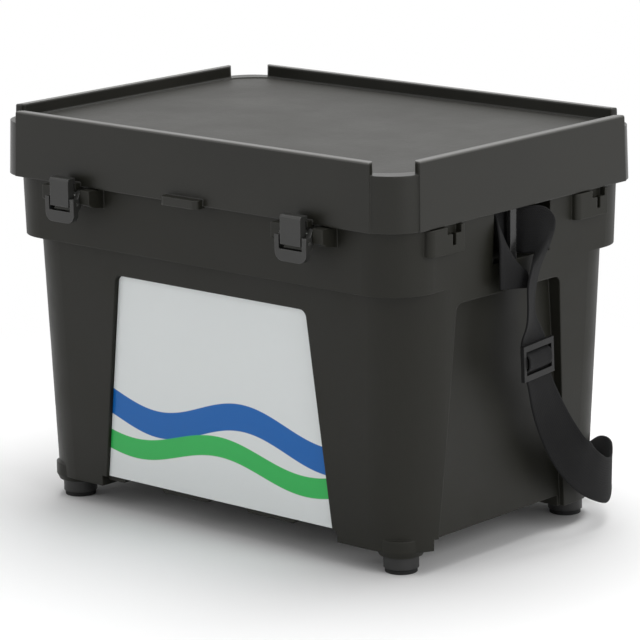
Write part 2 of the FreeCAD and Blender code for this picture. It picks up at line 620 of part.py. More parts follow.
def make_feet():
    """Four plug-in feet: a disc whose spigot goes up into the leg, held from below by a screw."""
    for x, y in FEET:
        place = f"{'front' if y < 0 else 'back'}_{'right' if x > 0 else 'left'}"
        centre = [(f"{x} * foot_x", f"{y} * foot_y")]
        foot = body(f"foot_{place}")
        peg = discs(foot, f"{place}_peg", "XY_Plane", centre, "peg_radius", "pad_thick")
        pad(foot, peg, "flange_low - pad_thick")
        spigot = discs(foot, f"{place}_spigot", "XY_Plane", centre, "spigot_radius", "flange_low")
        pad(foot, spigot, "spigot_top - flange_low")
        hole = discs(foot, f"{place}_hole", "XY_Plane", centre, "screw_radius + 0.1", "pad_thick - 1")
        pocket(foot, hole, "spigot_top - pad_thick + 2", back=True)
        sink = discs(foot, f"{place}_sink", "XY_Plane", centre, "screw_head + 0.1", "pad_thick - 1")
        pocket(foot, sink, "head_tall + 1", back=True)
        rubber = body(f"foot_pad_{place}")
        sole = discs(rubber, f"{place}_sole", "XY_Plane", centre, "pad_radius")
        pad(rubber, sole, "pad_thick")


def make_foot_screws():
    """The four alike screws that hold the feet, in one node."""
    screws = body("foot_screws")
    screws.AllowCompound = True
    head = discs(screws, "heads", "XY_Plane", foot_centres(), "screw_head", "pad_thick")
    pad(screws, head, "head_tall")
    shank = discs(screws, "shanks", "XY_Plane", foot_centres(), "screw_radius", "pad_thick + head_tall")
    pad(screws, shank, "screw_top - pad_thick - head_tall")


def make_strap_bars():
    """The upright bar across each strap pocket, of hard black plastic."""
    for side, name in SIDES:
        bar = body(f"strap_bar_{name}")
        outline = rectangle(bar, f"{name}_bar", "XY_Plane",
                            (f"{side} * ( bar_face - bar_thick )", "-1 * ( bar_y + bar_wide / 2 )"),
                            (f"{side} * bar_face", "-1 * ( bar_y - bar_wide / 2 )"), "pocket_low")
        pad(bar, outline, "pocket_top - pocket_low")


def bore(owner, name, y, z, radius, start, length):
    """A hole along X through a lever, claw or knuckle."""
    hole = discs(owner, name, "YZ_Plane", [(y, z)], radius, start)
    pocket(owner, hole, length, back=True)


def rod(label, name, y, z, radius, start, length):
    """A plain pin along X."""
    pin = body(label)
    pad(pin, discs(pin, name, "YZ_Plane", [(y, z)], radius, start), length)
    return pin


def make_lever(side, name):
    """The latch lever: a frame round the claw, with an ear round its pin on each arm."""
    lever = body(f"latch_lever_{name}")
    middle = f"{side} * latch_x"
    wide = "lever_half - lever_inner"
    ear_y = "-1 * lever_pin_y"
    bar = rectangle(lever, f"{name}_lower_bar", "XZ_Plane", (f"{middle} - lever_half", "lever_low"),
                    (f"{middle} + lever_half", "lever_sill"), "lever_back")
    pad(lever, bar, "latch_front - lever_back")
    rounded(lever, f"{name}_lever_corners", lever_corner, "lever_corner")
    arm = [("-1 * latch_front", "lever_sill - 1"), ("-1 * lever_back", "lever_sill - 1"),
           ("-1 * lever_back", "lever_sill"), ("-1 * ( lever_pin_y + 1.5 )", "lever_sill + 3"),
           ("-1 * ( lever_pin_y - lever_ear )", "lever_pin_z"),
           ("-1 * ( lever_pin_y + lever_ear )", "lever_pin_z"),
           ("-1 * ( lever_pin_y + lever_ear + 2 )", "arm_top"), ("-1 * latch_front", "arm_top")]
    for place, start in (("outer", f"{middle} + lever_inner"), ("inner", f"{middle} - lever_half")):
        side_arm = polygon(lever, f"{name}_{place}_arm", "YZ_Plane", arm, start)
        pad(lever, side_arm, wide)
        ear = discs(lever, f"{name}_{place}_ear", "YZ_Plane", [(ear_y, "lever_pin_z")], "lever_ear", start)
        pad(lever, ear, wide)
    bore(lever, f"{name}_lever_bore", ear_y, "lever_pin_z", "lever_pin_radius + running_gap",
         f"{middle} - lever_half - 1", "2 * lever_half + 2")
    bore(lever, f"{name}_claw_bore", "-1 * claw_pin_y", "claw_pin_z", "claw_pin_radius + fixed_gap",
         f"{middle} - lever_half - 1", "2 * lever_half + 2")


def lever_corner(edge):
    """Chooses the lever's two lower corners, whose edges run front to back."""
    middle = edge.CenterOfMass
    off = abs(abs(middle.x) - SIZE["latch_x"])
    low = all(abs(v.Point.z - SIZE["lever_low"]) < 0.01 for v in edge.Vertexes)
    return low and abs(off - SIZE["lever_half"]) < 0.01 and edge.Length < 7


def make_claw(side, name):
    """The claw: a hooked plate with two flanges, which turns on its pin in the lever."""
    claw = body(f"latch_claw_{name}")
    middle = f"{side} * latch_x"
    hook = [("-1 * latch_front", "claw_low"), ("-1 * ( latch_front - claw_thick )", "claw_low"),
            ("-1 * ( latch_front - claw_thick )", "claw_top - claw_hook"),
            ("-1 * claw_nose", "claw_top - claw_hook"), ("-1 * claw_nose", "claw_top"),
            ("-1 * latch_front", "claw_top")]
    pad(claw, polygon(claw, f"{name}_hook", "YZ_Plane", hook, f"{middle} - claw_half"), "2 * claw_half")
    rounded(claw, f"{name}_claw_edge", claw_upper_edge, "claw_round")
    flange = [("-1 * ( latch_front - 1 )", "claw_low"), ("-1 * ( claw_pin_y - 2 )", "claw_low"),
              ("-1 * claw_back", "claw_pin_z"), ("-1 * claw_back", "claw_top - 3"),
              ("-1 * ( latch_front - 1 )", "claw_top - 3")]
    places = (("outer", f"{middle} + claw_half - claw_flange"), ("inner", f"{middle} - claw_half"))
    for place, start in places:
        pad(claw, polygon(claw, f"{name}_{place}_flange", "YZ_Plane", flange, start), "claw_flange")
    bore(claw, f"{name}_claw_hole", "-1 * claw_pin_y", "claw_pin_z", "claw_pin_radius + running_gap",
         f"{middle} - claw_half - 1", "2 * claw_half + 2")


def claw_upper_edge(edge):
    """Chooses the claw's long upper front edge."""
    middle = edge.CenterOfMass
    return abs(middle.y + SIZE["latch_front"]) < 0.1 and abs(middle.z - SIZE["claw_top"]) < 0.1


def make_pins():
    """The latches' and hinges' steel pins; a hinge pin has a head at each end."""
    for side, name in SIDES:
        middle = f"{side} * latch_x"
        rod(f"lever_pin_{name}", f"{name}_lever_rod", "-1 * lever_pin_y", "lever_pin_z", "lever_pin_radius",
            f"{middle} - lug_far + 1.7", "2 * lug_far - 3.4")
        rod(f"claw_pin_{name}", f"{name}_claw_rod", "-1 * claw_pin_y", "claw_pin_z", "claw_pin_radius",
            f"{middle} - lever_half + 0.5", "2 * lever_half - 1")
        start = f"{side} * hinge_x - hinge_half"
        pin = rod(f"hinge_pin_{name}", f"{name}_hinge_rod", "hinge_y", "hinge_z", "hinge_pin_radius",
                  f"{start} - 1", "2 * hinge_half + 2")
        for place, at in (("near", f"{start} - 1.6"), ("far", f"{start} + 2 * hinge_half + 0.1")):
            head = discs(pin, f"{name}_{place}_head", "YZ_Plane", [("hinge_y", "hinge_z")],
                         "hinge_pin_radius + pin_head", at)
            pad(pin, head, "pin_head")


# The strap's middle line on the right, each point with the direction in which the webbing is wide there.
# The tail hangs in front of the pocket and goes in behind the bar. The webbing comes out at the bar's
# other side, folds over and down, hangs edge on through the slider, goes round the back corner and lies
# down behind the box. The left side is the same, mirrored.
TAIL = [((236, -22, 230.5), (0, -40, 5)), ((235.5, -23, 246), (1, -38, 11)),
        ((233, -24.5, 259), (2, -31, 25)), ((227.5, -26, 271.5), (-1, -18, 36))]
ROUND_BAR = [((219.5, -25, 275), (0, -8, 39)), ((216.5, -12, 275.5), (0, 0, 1)),
             ((217.5, 0, 275.5), (0, 0, 1)), ((226, 5, 275.2), (0, 6, 39))]
FOLD = [((235, 12, 274.5), (1, 14, 38)), ((238.5, 14, 267), (3, 26, 29)),
        ((240.5, 8, 256), (-7, 36, 17)), ((239, 1, 240), (-13, 35, 12)),
        ((238.5, -2, 226), (-18, 35, 7)), ((239, -4, 213), (-20, 34, 0))]
HANG = [((240, -5, 200), (-18, 36, 0)), ((241, -4, 184), (-6, 39, 0)), ((241, -2, 166), (-5, 39, 0)),
        ((241, 6, 146), (-5, 39, 0)), ((241, 16, 124), (1, 40, 2)), ((243, 26, 104), (8, 38, 2)),
        ((246, 38, 84), (13, 36, 8)), ((248, 58, 62), (4, 24, 32)), ((247, 82, 47), (2, 8, 39)),
        ((240, 106, 40), (0, 4, 40)), ((224, 130, 46), (0, 0, 1)), ((203, 147, 44), (0, 0, 1))]
LIE = [((178, 157, 34), (0, 16, 36)), ((150, 161, 18), (0, 32, 24)), ((120, 161, 7), (0, 39, 8)),
       ((90, 160.5, 2.6), (0, 1, 0)), ((45, 160.5, 2.4), (0, 1, 0))]
# The slider's middle, and its directions across and up the webbing that it lies on.
SLIDER_AT = Vector(244.22, -1.76, 168)
SLIDER_WIDE = Vector(5.5, -39, 0)
SLIDER_UP = Vector(-0.035, -0.005, 1)


def strap_section(centre, before, after, across):
    """The webbing's rectangular section at one point of its way."""
    across = across.normalize()
    up = across.cross(after - before).normalize()
    wide = across * (SIZE["strap_wide"] / 2)
    thick = up * (SIZE["strap_thick"] / 2)
    corners = [centre + wide + thick, centre + wide - thick, centre - wide - thick, centre - wide + thick]
    return Part.makePolygon(corners + corners[:1])


def make_strap():
    """The shoulder strap, one length of webbing from bar to bar."""
    right = [(Vector(*centre), Vector(*across)) for centre, across in TAIL + ROUND_BAR + FOLD + HANG + LIE]
    middle = [(Vector(0, right[-1][0].y, right[-1][0].z), Vector(0, 1, 0))]
    left = [(Vector(-c.x, c.y, c.z), Vector(-w.x, w.y, w.z)) for c, w in reversed(right)]
    run = right + middle + left
    sections = []
    for i, (centre, across) in enumerate(run):
        before = run[max(i - 1, 0)][0]
        after = run[min(i + 1, len(run) - 1)][0]
        sections.append(strap_section(centre, before, after, across))
    strap = doc.addObject("Part::Feature", "shoulder_strap")
    strap.Label = "shoulder_strap"
    strap.Shape = Part.makeLoft(sections, True, True)
    length = sum((b[0] - a[0]).Length for a, b in zip(run, run[1:]))
    section = SIZE["strap_wide"] * SIZE["strap_thick"]
    share = strap.Shape.Volume / (length * section)
    print(f"strap {length:.0f} mm long, with {share:.3f} of the volume of its section drawn out")
    parts.append(strap)


def make_slider():
    """The strap's slider buckle: a plate with two slots, round which the webbing doubles back."""
    slider = doc.addObject("Part::Feature", "strap_slider")
    slider.Label = "strap_slider"
    wide, tall, thick = SIZE["slider_wide"], SIZE["slider_tall"], SIZE["slider_thick"]
    plate = Part.makeBox(wide, thick, tall, Vector(-wide / 2, -thick / 2, -tall / 2))
    long, high, off = SIZE["strap_wide"] + 2, SIZE["slider_slot"], SIZE["slider_bar"] / 2
    slot = Part.makeBox(long, thick + 2, high, Vector(-long / 2, -thick / 2 - 1, 0))
    plate = plate.cut(slot.translated(Vector(0, 0, off)))
    slider.Shape = plate.cut(slot.translated(Vector(0, 0, -off - high)))
    turn = Rotation(SLIDER_WIDE, Vector(0, 0, 0), SLIDER_UP, "XZY")
    slider.Placement = Placement(SLIDER_AT, turn)
    parts.append(slider)


make_tub()
make_lid()
make_label()
make_feet()
make_foot_screws()
make_strap_bars()
for side, name in SIDES:
    make_lever(side, name)
    make_claw(side, name)
make_pins()
make_strap()
make_slider()
doc.recompute()
os.makedirs("parts", exist_ok=True)
for part in parts:
    bad = [o.Name for o in doc.Objects if "Invalid" in o.State or "Error" in o.State]
    if bad or part.Shape.isNull() or not part.Shape.isValid():
        raise ValueError(f"{part.Label} failed: {bad}")
    part.Shape.exportStep(f"parts/{part.Label}.step")
    print(part.Label, round(part.Shape.Volume), part.Shape.BoundBox, len(part.Shape.Solids))
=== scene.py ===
import math

import bmesh
import bpy
from mathutils import Matrix, Vector


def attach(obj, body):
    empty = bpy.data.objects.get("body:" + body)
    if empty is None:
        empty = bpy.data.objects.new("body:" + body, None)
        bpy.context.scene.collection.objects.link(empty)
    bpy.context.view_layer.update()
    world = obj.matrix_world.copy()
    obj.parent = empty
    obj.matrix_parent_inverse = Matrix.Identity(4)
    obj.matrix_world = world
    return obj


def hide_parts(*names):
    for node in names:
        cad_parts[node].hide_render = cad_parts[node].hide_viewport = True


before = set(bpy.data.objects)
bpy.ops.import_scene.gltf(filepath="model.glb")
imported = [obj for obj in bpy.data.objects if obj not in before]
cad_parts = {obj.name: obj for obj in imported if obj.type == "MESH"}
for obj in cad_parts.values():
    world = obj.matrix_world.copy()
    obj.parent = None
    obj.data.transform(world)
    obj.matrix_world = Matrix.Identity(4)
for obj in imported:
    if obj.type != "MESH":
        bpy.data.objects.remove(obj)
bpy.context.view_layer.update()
MM = 0.001

# Camera: the photograph's view, from the front and right, a little above the seat. The place, turn and
# lens are worked out from the edges of lid and tub.
CAMERA_TURN = math.radians(41.16)
CAMERA_RISE = math.radians(13.12)
CAMERA_ROLL = math.radians(-0.65)
CAMERA_FAR = 3.04666
CAMERA_AIM = Vector((0.00134, 0.00121, 0.16582))
CAMERA_LENS = 194.98

camera_data = bpy.data.cameras.new("camera")
camera_data.lens = CAMERA_LENS
camera_data.sensor_width = 36.0
camera = bpy.data.objects.new("camera", camera_data)
bpy.context.collection.objects.link(camera)
back = Vector((math.sin(CAMERA_TURN) * math.cos(CAMERA_RISE),
               -math.cos(CAMERA_TURN) * math.cos(CAMERA_RISE),
               math.sin(CAMERA_RISE)))
across = Vector((math.cos(CAMERA_TURN), math.sin(CAMERA_TURN), 0))
upward = back.cross(across)
turned_across = across * math.cos(CAMERA_ROLL) + upward * math.sin(CAMERA_ROLL)
turned_up = upward * math.cos(CAMERA_ROLL) - across * math.sin(CAMERA_ROLL)
place = CAMERA_AIM + back * CAMERA_FAR
camera.matrix_world = Matrix((
    (turned_across.x, turned_up.x, back.x, place.x),
    (turned_across.y, turned_up.y, back.y, place.y),
    (turned_across.z, turned_up.z, back.z, place.z),
    (0, 0, 0, 1)))
bpy.context.scene.camera = camera
bpy.context.scene.view_settings.view_transform = "Standard"


# Studio: a white sweep that fades into a white background, one large soft lamp over the seat, a weaker
# one from the right for the side, and a low one for the front.
FLOOR_HALF = 4.0
FLOOR_DROP = 0.0002
FADE_FROM, FADE_TO = 0.35, 0.75
AMBIENT = 0.42
PAPER = (0.93, 0.93, 0.93, 1)
WHITE = (1, 1, 1, 1)


def new_material(name):
    """An empty node material and its tree."""
    made = bpy.data.materials.new(name)
    made.use_nodes = True
    made.node_tree.nodes.clear()
    return made, made.node_tree


def node(tree, kind, **values):
    """A shader node with its inputs set by name, or linked where the value is a socket."""
    made = tree.nodes.new(kind)
    for name, value in values.items():
        if hasattr(made, name):
            setattr(made, name, value)
            continue
        socket = made.inputs[name.replace("_", " ")]
        if isinstance(value, bpy.types.NodeSocket):
            tree.links.new(value, socket)
        else:
            socket.default_value = value
    return made


def math_node(tree, operation, first, second=0.0, third=None):
    """A Math node; each value is a number or a socket."""
    made = tree.nodes.new("ShaderNodeMath")
    made.operation = operation
    for at, value in enumerate((first, second, third)):
        if value is None:
            continue
        if isinstance(value, bpy.types.NodeSocket):
            tree.links.new(value, made.inputs[at])
        else:
            made.inputs[at].default_value = value
    return made.outputs[0]


def sees_background(tree):
    """A mask of the rays that show the white background: the camera's, reflected and transmitted ones."""
    rays = tree.nodes.new("ShaderNodeLightPath")
    direct = math_node(tree, "MAXIMUM", rays.outputs["Is Camera Ray"], rays.outputs["Is Transmission Ray"])
    return math_node(tree, "MAXIMUM", direct, rays.outputs["Is Glossy Ray"])


def mixed_shaders(tree, share, first, second):
    """One shader node fading into another."""
    made = node(tree, "ShaderNodeMixShader")
    tree.links.new(share, made.inputs[0])
    tree.links.new(first.outputs[0], made.inputs[1])
    tree.links.new(second.outputs[0], made.inputs[2])
    return made


def surface_output(tree, shader):
    """The material's output, showing one shader node."""
    out = tree.nodes.new("ShaderNodeOutputMaterial")
    tree.links.new(shader.outputs[0], out.inputs["Surface"])


def lamp(name, size, spot, aim, watts):
    """A square white area lamp that points at a place."""
    data = bpy.data.lights.new(name, "AREA")
    data.shape = "SQUARE"
    data.size = size
    data.energy = watts
    made = bpy.data.objects.new(name, data)
    made.location = spot
    made.rotation_euler = (Vector(aim) - Vector(spot)).to_track_quat("-Z", "Y").to_euler()
    bpy.context.collection.objects.link(made)


lamp("lamp_over", 2.2, (-0.2, 0.6, 2.6), (0, 0, 0.3), 64)
lamp("lamp_right", 1.6, (2.6, -0.2, 1.3), (0.1, 0, 0.2), 26)
lamp("lamp_front", 1.8, (-1.1, -2.7, 1.5), (0, 0, 0.2), 10)

world = bpy.data.worlds.new("studio")
world.use_nodes = True
bpy.context.scene.world = world
tree = world.node_tree
tree.nodes.clear()
dim = node(tree, "ShaderNodeBackground", Color=WHITE, Strength=AMBIENT)
bright = node(tree, "ShaderNodeBackground", Color=WHITE, Strength=1.0)
shown = mixed_shaders(tree, sees_background(tree), dim, bright)
sky = tree.nodes.new("ShaderNodeOutputWorld")
tree.links.new(shown.outputs[0], sky.inputs["Surface"])

floor_material, tree = new_material("studio_floor")
spot = tree.nodes.new("ShaderNodeTexCoord").outputs["Object"]
far = node(tree, "ShaderNodeVectorMath", operation="LENGTH")
tree.links.new(spot, far.inputs[0])
fade = node(tree, "ShaderNodeMapRange", From_Min=FADE_FROM, From_Max=FADE_TO,
            interpolation_type="SMOOTHSTEP")
tree.links.new(far.outputs["Value"], fade.inputs["Value"])
paper = node(tree, "ShaderNodeBsdfDiffuse", Color=PAPER)
glow = node(tree, "ShaderNodeEmission", Color=WHITE, Strength=1.0)
share = math_node(tree, "MULTIPLY", fade.outputs[0], sees_background(tree))
surface_output(tree, mixed_shaders(tree, share, paper, glow))

shape = bmesh.new()
bmesh.ops.create_grid(shape, x_segments=1, y_segments=1, size=FLOOR_HALF)
bmesh.ops.translate(shape, verts=shape.verts, vec=(0, 0, -FLOOR_DROP))
floor_mesh = bpy.data.meshes.new("studio_floor")
shape.to_mesh(floor_mesh)
shape.free()
floor = bpy.data.objects.new("studio_floor", floor_mesh)
floor.data.materials.append(floor_material)
bpy.context.collection.objects.link(floor)


# Tub: one injection moulding in charcoal polypropylene, with an even fine grain from the mould, edges
# rounded by the mould with a paler painted highlight along them, and slight mottling where the plastic
# cooled.
TUB_COLOUR = (0.0115, 0.0112, 0.0078, 1)
# The paler edge colour is a painted highlight along the tub's rounded edges.
TUB_EDGE_HIGHLIGHT = (0.036, 0.035, 0.029, 1)
MOTTLE = 14.0
MOTTLE_DARK = 0.84


def group_with(name, inputs, outputs):
    """An empty node group with named sockets and its two end nodes."""
    made = bpy.data.node_groups.new(name, "ShaderNodeTree")
    for socket, kind, value in inputs:
        new = made.interface.new_socket(socket, in_out="INPUT", socket_type=f"NodeSocket{kind}")
        new.default_value = value
    for socket, kind in outputs:
        made.interface.new_socket(socket, in_out="OUTPUT", socket_type=f"NodeSocket{kind}")
    return made, made.nodes.new("NodeGroupInput"), made.nodes.new("NodeGroupOutput")


def make_rounded_edges():
    """Normals rounded over every edge, and a mask of those edges."""
    made, given, result = group_with("rounded_edges", [("Radius", "Float", 0.001)],
                                     [("Normal", "Vector"), ("Edge", "Float")])
    soft = made.nodes.new("ShaderNodeBevel")
    soft.samples = 6
    made.links.new(given.outputs["Radius"], soft.inputs["Radius"])
    flat = made.nodes.new("ShaderNodeNewGeometry")
    match = node(made, "ShaderNodeVectorMath", operation="DOT_PRODUCT")
    made.links.new(soft.outputs[0], match.inputs[0])
    made.links.new(flat.outputs["Normal"], match.inputs[1])
    off = math_node(made, "SUBTRACT", 1.0, match.outputs["Value"])
    edge = node(made, "ShaderNodeMapRange", From_Min=0.02, From_Max=0.25)
    made.links.new(off, edge.inputs["Value"])
    made.links.new(soft.outputs[0], result.inputs["Normal"])
    made.links.new(edge.outputs[0], result.inputs["Edge"])
    return made


def make_mould_grain():
    """The fine pebbled grain of a mould, as a height, with broad mottling of tone and shine."""
    made, given, result = group_with(
        "mould_grain", [("Grain", "Float", 900.0), ("Mottle", "Float", MOTTLE)],
        [("Height", "Float"), ("Mottle", "Float")])
    where = made.nodes.new("ShaderNodeTexCoord").outputs["Object"]
    pebbles = node(made, "ShaderNodeTexVoronoi", Vector=where, feature="SMOOTH_F1", Smoothness=0.6)
    made.links.new(given.outputs["Grain"], pebbles.inputs["Scale"])
    dust = node(made, "ShaderNodeTexNoise", Vector=where, Detail=4.0)
    finer = math_node(made, "MULTIPLY", given.outputs["Grain"], 1.7)
    made.links.new(finer, dust.inputs["Scale"])
    height = math_node(made, "MULTIPLY_ADD", dust.outputs[0], 0.5, pebbles.outputs["Distance"])
    broad = node(made, "ShaderNodeTexNoise", Vector=where, Detail=5.0, Roughness=0.6)
    made.links.new(given.outputs["Mottle"], broad.inputs["Scale"])
    made.links.new(height, result.inputs["Height"])
    made.links.new(broad.outputs[0], result.inputs["Mottle"])
    return made


ROUNDED_EDGES = make_rounded_edges()
MOULD_GRAIN = make_mould_grain()


def placed_group(tree, group, **values):
    """A node group placed in a material with its own values."""
    made = tree.nodes.new("ShaderNodeGroup")
    made.node_tree = group
    for name, value in values.items():
        made.inputs[name].default_value = value
    return made


def mixed(tree, share, first, second):
    """One colour fading into another; each is a colour or a socket."""
    made = tree.nodes.new("ShaderNodeMix")
    made.data_type = "RGBA"
    for socket, value in ((made.inputs[0], share), (made.inputs[6], first), (made.inputs[7], second)):
        if isinstance(value, bpy.types.NodeSocket):
            tree.links.new(value, socket)
        else:
            socket.default_value = value
    return made.outputs[2]


def ranged(tree, value, low, high, from_low=0.0, from_high=1.0):
    """A value moved from one range to another."""
    made = node(tree, "ShaderNodeMapRange", From_Min=from_low, From_Max=from_high, To_Min=low, To_Max=high)
    tree.links.new(value, made.inputs["Value"])
    return made.outputs[0]


def blended(tree, share, first, second):
    """One value fading into another."""
    change = math_node(tree, "SUBTRACT", second, first)
    return math_node(tree, "MULTIPLY_ADD", change, share, first)


# The seat's grain and where it lies, and the heights over which a rail's painted highlight grows, in metres.
SEAT_GRAIN = 420.0
SEAT_DEPTH = 2.5
SEAT_LOW, SEAT_HIGH = 0.3413, 0.3423
SEAT_HALF_X, SEAT_HALF_Y = 0.2201, 0.1565
RAIL_HIGHLIGHT_LOW, RAIL_HIGHLIGHT_HIGH = 0.3514, 0.353
RAIL_HIGHLIGHT_SHARE = 0.75


def within(tree, value, half):
    """A mask of where a coordinate is less than a half width from the middle."""
    return math_node(tree, "LESS_THAN", math_node(tree, "ABSOLUTE", value), half)


def seat_mask(tree):
    """A mask of the lid's sunk seat, whose surface lies a little lower than its edge."""
    where = node(tree, "ShaderNodeSeparateXYZ")
    tree.links.new(tree.nodes.new("ShaderNodeTexCoord").outputs["Object"], where.inputs[0])
    sunk = math_node(tree, "LESS_THAN", where.outputs["Z"], SEAT_HIGH)
    high = math_node(tree, "GREATER_THAN", where.outputs["Z"], SEAT_LOW)
    in_x = within(tree, where.outputs["X"], SEAT_HALF_X)
    in_y = within(tree, where.outputs["Y"], SEAT_HALF_Y)
    return math_node(tree, "MULTIPLY", math_node(tree, "MULTIPLY", sunk, high),
                     math_node(tree, "MULTIPLY", in_x, in_y))


def rail_highlight_mask(tree):
    """A mask of the rails' upper sides, which get a painted highlight of paler colour."""
    where = node(tree, "ShaderNodeSeparateXYZ")
    tree.links.new(tree.nodes.new("ShaderNodeTexCoord").outputs["Object"], where.inputs[0])
    return ranged(tree, where.outputs["Z"], 0, 1, RAIL_HIGHLIGHT_LOW, RAIL_HIGHLIGHT_HIGH)


def moulded_plastic(name, colour, edge_highlight_colour, radius=0.0012, grain=900.0, depth=0.00008,
                    rough=(0.42, 0.56), shine=0.5, edge_highlight_share=0.55, seat=None, rail_highlight_colour=None):
    """Moulded plastic with grain, mottling, rounded edges and a paler painted highlight along the edges.

    The lid also gets its seat's colour in the grain and a paler painted highlight on its rails' upper sides.
    """
    made, tree = new_material(name)
    edges = placed_group(tree, ROUNDED_EDGES, Radius=radius)
    surface = placed_group(tree, MOULD_GRAIN, Grain=grain, Mottle=MOTTLE)
    darker = tuple(MOTTLE_DARK * part for part in colour[:3]) + (1,)
    tone = mixed(tree, ranged(tree, surface.outputs["Mottle"], 0, 1, 0.35, 0.65), darker, colour)
    height = surface.outputs["Height"]
    dullness = ranged(tree, surface.outputs["Mottle"], rough[0], rough[1], 0.3, 0.7)
    if seat:
        on_seat = seat_mask(tree)
        pebbles = placed_group(tree, MOULD_GRAIN, Grain=SEAT_GRAIN, Mottle=MOTTLE)
        coarse = math_node(tree, "MULTIPLY_ADD", pebbles.outputs["Height"], SEAT_DEPTH, height)
        height = blended(tree, on_seat, height, coarse)
        dullness = blended(tree, on_seat, dullness, math_node(tree, "ADD", dullness, 0.2))
        pits = mixed(tree, ranged(tree, pebbles.outputs["Height"], 0, 0.6), colour, seat)
        tone = mixed(tree, on_seat, tone, pits)
        # Painted highlight: the rails' upper sides turn paler with height.
        tone = mixed(tree, math_node(tree, "MULTIPLY", rail_highlight_mask(tree), RAIL_HIGHLIGHT_SHARE), tone, rail_highlight_colour)
    # Painted highlight: every rounded edge is mixed towards a paler colour.
    painted_edge_highlight = math_node(tree, "MULTIPLY", edges.outputs["Edge"], edge_highlight_share)
    tone = mixed(tree, painted_edge_highlight, tone, edge_highlight_colour)
    bump = node(tree, "ShaderNodeBump", Distance=depth, Strength=0.6)
    tree.links.new(height, bump.inputs["Height"])
    tree.links.new(edges.outputs["Normal"], bump.inputs["Normal"])
    skin = tree.nodes.new("ShaderNodeBsdfPrincipled")
    skin.inputs["Specular IOR Level"].default_value = shine
    tree.links.new(tone, skin.inputs["Base Color"])
    tree.links.new(dullness, skin.inputs["Roughness"])
    tree.links.new(bump.outputs[0], skin.inputs["Normal"])
    surface_output(tree, skin)
    return made


def finish_node(name, material):
    """Gives a carried-over piece its material."""
    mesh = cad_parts[name].data
    mesh.materials.clear()
    mesh.materials.append(material)


tub_plastic = moulded_plastic("tub_plastic", TUB_COLOUR, TUB_EDGE_HIGHLIGHT, radius=0.0018, shine=0.26)
finish_node("box_body", tub_plastic)


# Lid: one moulding in the same plastic, a shade lighter than the tub and hinged on two pins. The seat
# between the rails has a coarser pebble grain, and the rails' upper sides get a paler painted highlight.
LID_COLOUR = (0.013, 0.0127, 0.0093, 1)
# The paler edge colour is a painted highlight along the lid's rounded edges.
LID_EDGE_HIGHLIGHT = (0.055, 0.054, 0.049, 1)
SEAT_COLOUR = (0.021, 0.0202, 0.0175, 1)
# The rails' paler colour is a painted highlight on their upper sides.
RAIL_HIGHLIGHT_COLOUR = (0.11, 0.108, 0.102, 1)

lid_plastic = moulded_plastic("lid_plastic", LID_COLOUR, LID_EDGE_HIGHLIGHT, radius=0.0016, edge_highlight_share=0.5,
                              rough=(0.3, 0.38), shine=0.32, seat=SEAT_COLOUR, rail_highlight_colour=RAIL_HIGHLIGHT_COLOUR)
finish_node("lid", lid_plastic)


# Label: a white film in the sunk front panel, printed with two plain waves of blue and green water.
# It is laminated, so the print lies under one smooth skin.
WHITE_FILM = (0.74, 0.77, 0.77, 1)
BLUE_INK = (0.002, 0.12, 0.43, 1)
GREEN_INK = (0.035, 0.46, 0.1, 1)
BLUE_WAVE = {"middle": 0.098, "half": 0.012, "rise": 0.011, "turns": 32.0, "shift": 0.6}
GREEN_WAVE = {"middle": 0.070, "half": 0.009, "rise": 0.009, "turns": 32.0, "shift": 1.5}
INK_EDGE = 0.0003


def wave_band(tree, where, middle, half, rise, turns, shift):
    """A mask of a wavy horizontal band: its middle height, half width and rise are in metres."""
    parts = node(tree, "ShaderNodeSeparateXYZ")
    tree.links.new(where, parts.inputs[0])
    angle = math_node(tree, "MULTIPLY_ADD", parts.outputs["X"], turns, shift)
    swing = math_node(tree, "SINE", angle)
    line = math_node(tree, "MULTIPLY_ADD", swing, rise, middle)
    off = math_node(tree, "ABSOLUTE", math_node(tree, "SUBTRACT", parts.outputs["Z"], line))
    return ranged(tree, off, 1, 0, half - INK_EDGE, half + INK_EDGE)


def printed_film(name):
    """White film with both waves under a smooth, very slightly rippled skin."""
    made, tree = new_material(name)
    where = tree.nodes.new("ShaderNodeTexCoord").outputs["Object"]
    ink = mixed(tree, wave_band(tree, where, **BLUE_WAVE), WHITE_FILM, BLUE_INK)
    ink = mixed(tree, wave_band(tree, where, **GREEN_WAVE), ink, GREEN_INK)
    edges = placed_group(tree, ROUNDED_EDGES, Radius=0.0005)
    ripple = node(tree, "ShaderNodeTexNoise", Vector=where, Scale=9.0, Detail=2.0)
    bump = node(tree, "ShaderNodeBump", Distance=0.0006, Strength=0.5)
    tree.links.new(ripple.outputs[0], bump.inputs["Height"])
    tree.links.new(edges.outputs["Normal"], bump.inputs["Normal"])
    film = tree.nodes.new("ShaderNodeBsdfPrincipled")
    film.inputs["Coat Weight"].default_value = 0.1
    film.inputs["Specular IOR Level"].default_value = 0.25
    tree.links.new(ink, film.inputs["Base Color"])
    tree.links.new(ranged(tree, ripple.outputs[0], 0.3, 0.42), film.inputs["Roughness"])
    tree.links.new(bump.outputs[0], film.inputs["Normal"])
    surface_output(tree, film)
    return made


finish_node("front_label", printed_film("label_film"))


# Feet: four moulded black discs, each plugged into a leg by its spigot and held by one screw from below.
# A rubber pad under each one grips the ground.
# The paler edge colours of feet and pads are painted highlights along their rounded edges.
foot_plastic = moulded_plastic("foot_plastic", (0.014, 0.014, 0.0135, 1), (0.05, 0.05, 0.048, 1),
                               radius=0.0008)
pad_rubber = moulded_plastic("pad_rubber", (0.014, 0.014, 0.014, 1), (0.035, 0.035, 0.035, 1),
                             radius=0.0006, grain=500.0, depth=0.0002, rough=(0.7, 0.85), shine=0.3)
for end in ("front", "back"):
    for side in ("right", "left"):
        finish_node(f"foot_{end}_{side}", foot_plastic)
        finish_node(f"foot_pad_{end}_{side}", pad_rubber)


